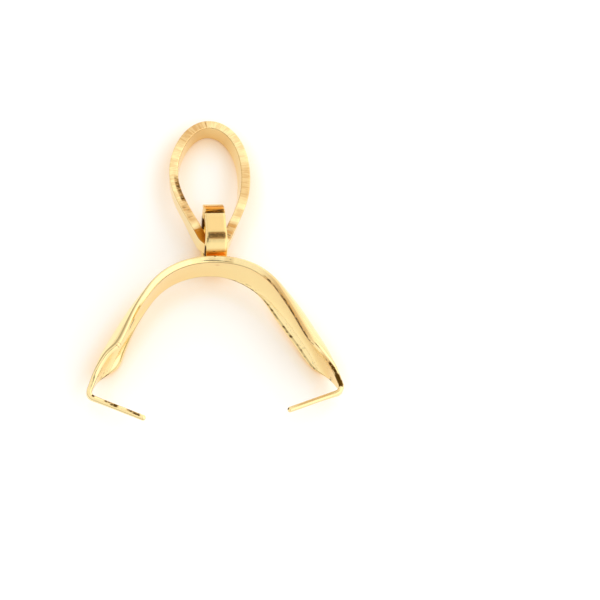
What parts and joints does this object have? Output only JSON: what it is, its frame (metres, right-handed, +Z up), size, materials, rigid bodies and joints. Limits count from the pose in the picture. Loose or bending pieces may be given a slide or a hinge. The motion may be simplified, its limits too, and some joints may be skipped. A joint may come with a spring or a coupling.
{
  "type": "bail finding",
  "caption": "Pinch bail: a dished strip bent to an arch with inward prongs that grip a pendant, and a teardrop loop that swings in a soldered ring and takes the chain.",
  "frame": {"origin": "on the surface that the bail lies on, under the middle of its outer box", "axes": "+X across the two legs, +Y from the prongs to the teardrop loop, +Z up through the width of the strip"},
  "size_m": [0.014, 0.018, 0.0033],
  "materials": {
    "clasp_plate": "polished gold plate",
    "loop_plate": "polished gold plate, striated sheared edge"
  },
  "bodies": {
    "clasp": {"pinch_clasp": "clasp_plate"},
    "loop": {"chain_loop": "loop_plate"}
  },
  "joints": [
    {"name": "loop_swing", "type": "hinge", "parent": "clasp", "child": "loop", "pos_m": [0.00044, 0.00173, 0.00163], "axis": [1, 0, 0], "range_deg": [-101, 118]}
  ]
}
